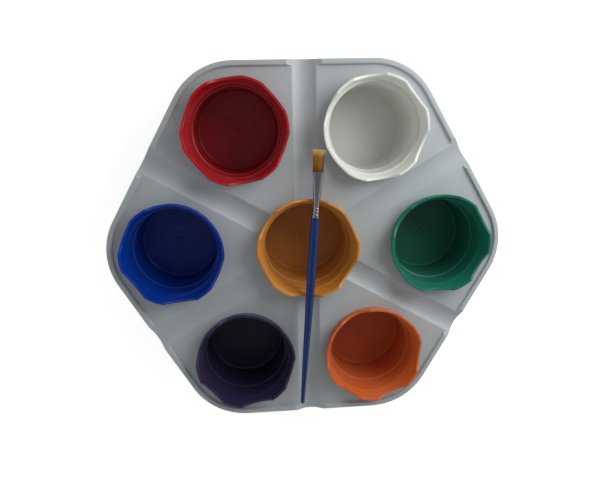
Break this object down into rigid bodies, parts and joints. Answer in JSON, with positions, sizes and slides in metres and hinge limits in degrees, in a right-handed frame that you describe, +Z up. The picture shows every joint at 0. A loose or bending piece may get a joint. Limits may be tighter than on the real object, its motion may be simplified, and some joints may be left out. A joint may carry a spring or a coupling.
{
  "type": "paint caddy",
  "caption": "Hexagonal paint caddy: a skirted tray with radial brush grooves that holds lift-out scalloped cups, with a flat brush across the middle cup.",
  "frame": {"origin": "on the table under the middle cup's axis, at the bottom of the tray's skirt", "axes": "+Z up; +X from the middle cup to the green cup, corner to corner of the tray; +Y towards the tuft's side of the tray"},
  "size_m": [0.2812, 0.2562, 0.057],
  "materials": {
    "tray_plastic": "moulded grey-white plastic, satin",
    "yellow_plastic": "moulded yellow plastic, soft gloss",
    "green_plastic": "moulded green plastic, soft gloss",
    "white_plastic": "moulded white plastic, soft gloss",
    "red_plastic": "moulded red plastic, soft gloss",
    "blue_plastic": "moulded blue plastic, soft gloss",
    "purple_plastic": "moulded purple plastic, soft gloss",
    "orange_plastic": "moulded orange plastic, soft gloss",
    "handle_lacquer": "blue lacquer on wood",
    "ferrule_metal": "bright crimped sheet",
    "glue": "set resin",
    "bristle": "amber synthetic bristles"
  },
  "bodies": {
    "tray": {"tray": "tray_plastic"},
    "yellow_cup": {"yellow_cup": "yellow_plastic"},
    "green_cup": {"green_cup": "green_plastic"},
    "white_cup": {"white_cup": "white_plastic"},
    "red_cup": {"red_cup": "red_plastic"},
    "blue_cup": {"blue_cup": "blue_plastic"},
    "purple_cup": {"purple_cup": "purple_plastic"},
    "orange_cup": {"orange_cup": "orange_plastic"},
    "brush": {"brush_handle": "handle_lacquer", "brush_ferrule": "ferrule_metal", "brush_glue_plug": "glue", "brush_tuft": "bristle"}
  },
  "joints": [
    {"name": "yellow_cup_lift", "type": "slide", "parent": "tray", "child": "yellow_cup", "axis": [0, 0, 1], "range_m": [0, 0.06]},
    {"name": "green_cup_lift", "type": "slide", "parent": "tray", "child": "green_cup", "axis": [0, 0, 1], "range_m": [0, 0.06]},
    {"name": "white_cup_lift", "type": "slide", "parent": "tray", "child": "white_cup", "axis": [0, 0, 1], "range_m": [0, 0.06]},
    {"name": "red_cup_lift", "type": "slide", "parent": "tray", "child": "red_cup", "axis": [0, 0, 1], "range_m": [0, 0.06]},
    {"name": "blue_cup_lift", "type": "slide", "parent": "tray", "child": "blue_cup", "axis": [0, 0, 1], "range_m": [0, 0.06]},
    {"name": "purple_cup_lift", "type": "slide", "parent": "tray", "child": "purple_cup", "axis": [0, 0, 1], "range_m": [0, 0.06]},
    {"name": "orange_cup_lift", "type": "slide", "parent": "tray", "child": "orange_cup", "axis": [0, 0, 1], "range_m": [0, 0.06]},
    {"name": "brush_lift", "type": "slide", "parent": "yellow_cup", "child": "brush", "axis": [0, 0, 1], "range_m": [0, 0.05]}
  ]
}
